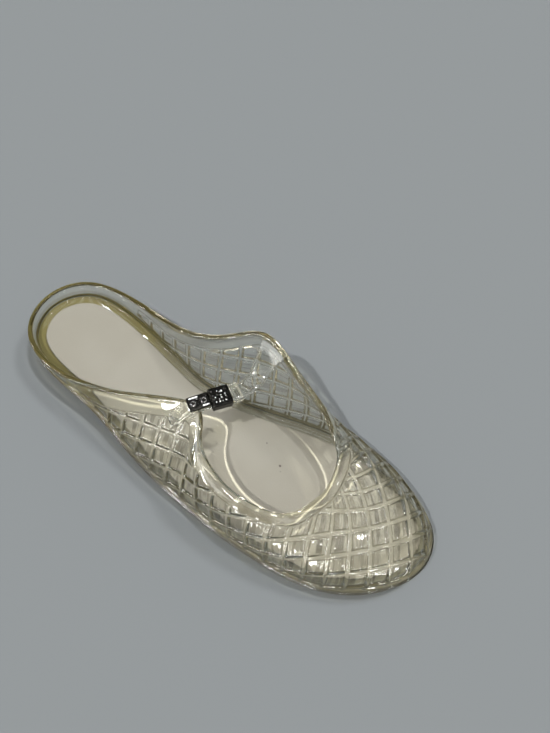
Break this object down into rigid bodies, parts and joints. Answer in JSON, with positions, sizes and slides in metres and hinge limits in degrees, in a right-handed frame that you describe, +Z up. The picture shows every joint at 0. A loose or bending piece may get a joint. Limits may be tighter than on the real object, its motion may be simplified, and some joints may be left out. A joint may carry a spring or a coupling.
{
  "type": "jelly mary jane shoe",
  "caption": "Clear moulded jelly mary jane, right foot, with a lattice-ribbed upper, low open heel lip, instep strap with a square clasp, and a low block heel.",
  "frame": {"origin": "middle of the shoe's footprint, on the floor that it stands on", "axes": "+X towards the toe, +Y towards the inner side of the foot, +Z up"},
  "size_m": [0.2474, 0.0842, 0.0631],
  "materials": {
    "jelly_sole": "clear soft plastic with an olive tint where it is thick, glossy",
    "jelly_upper": "clear soft plastic, glossy",
    "jelly_strap": "clear soft plastic, glossy",
    "insole_sock": "fine-grained matt imitation leather",
    "gunmetal": "dark plated metal, polished, set with small dark stones"
  },
  "bodies": {
    "root": {"outsole": "jelly_sole", "upper": "jelly_upper", "insole": "insole_sock", "strap": "jelly_strap", "clasp_head": "gunmetal", "clasp_plate": "gunmetal", "keeper": "jelly_strap", "stud": "gunmetal"}
  },
  "joints": []
}
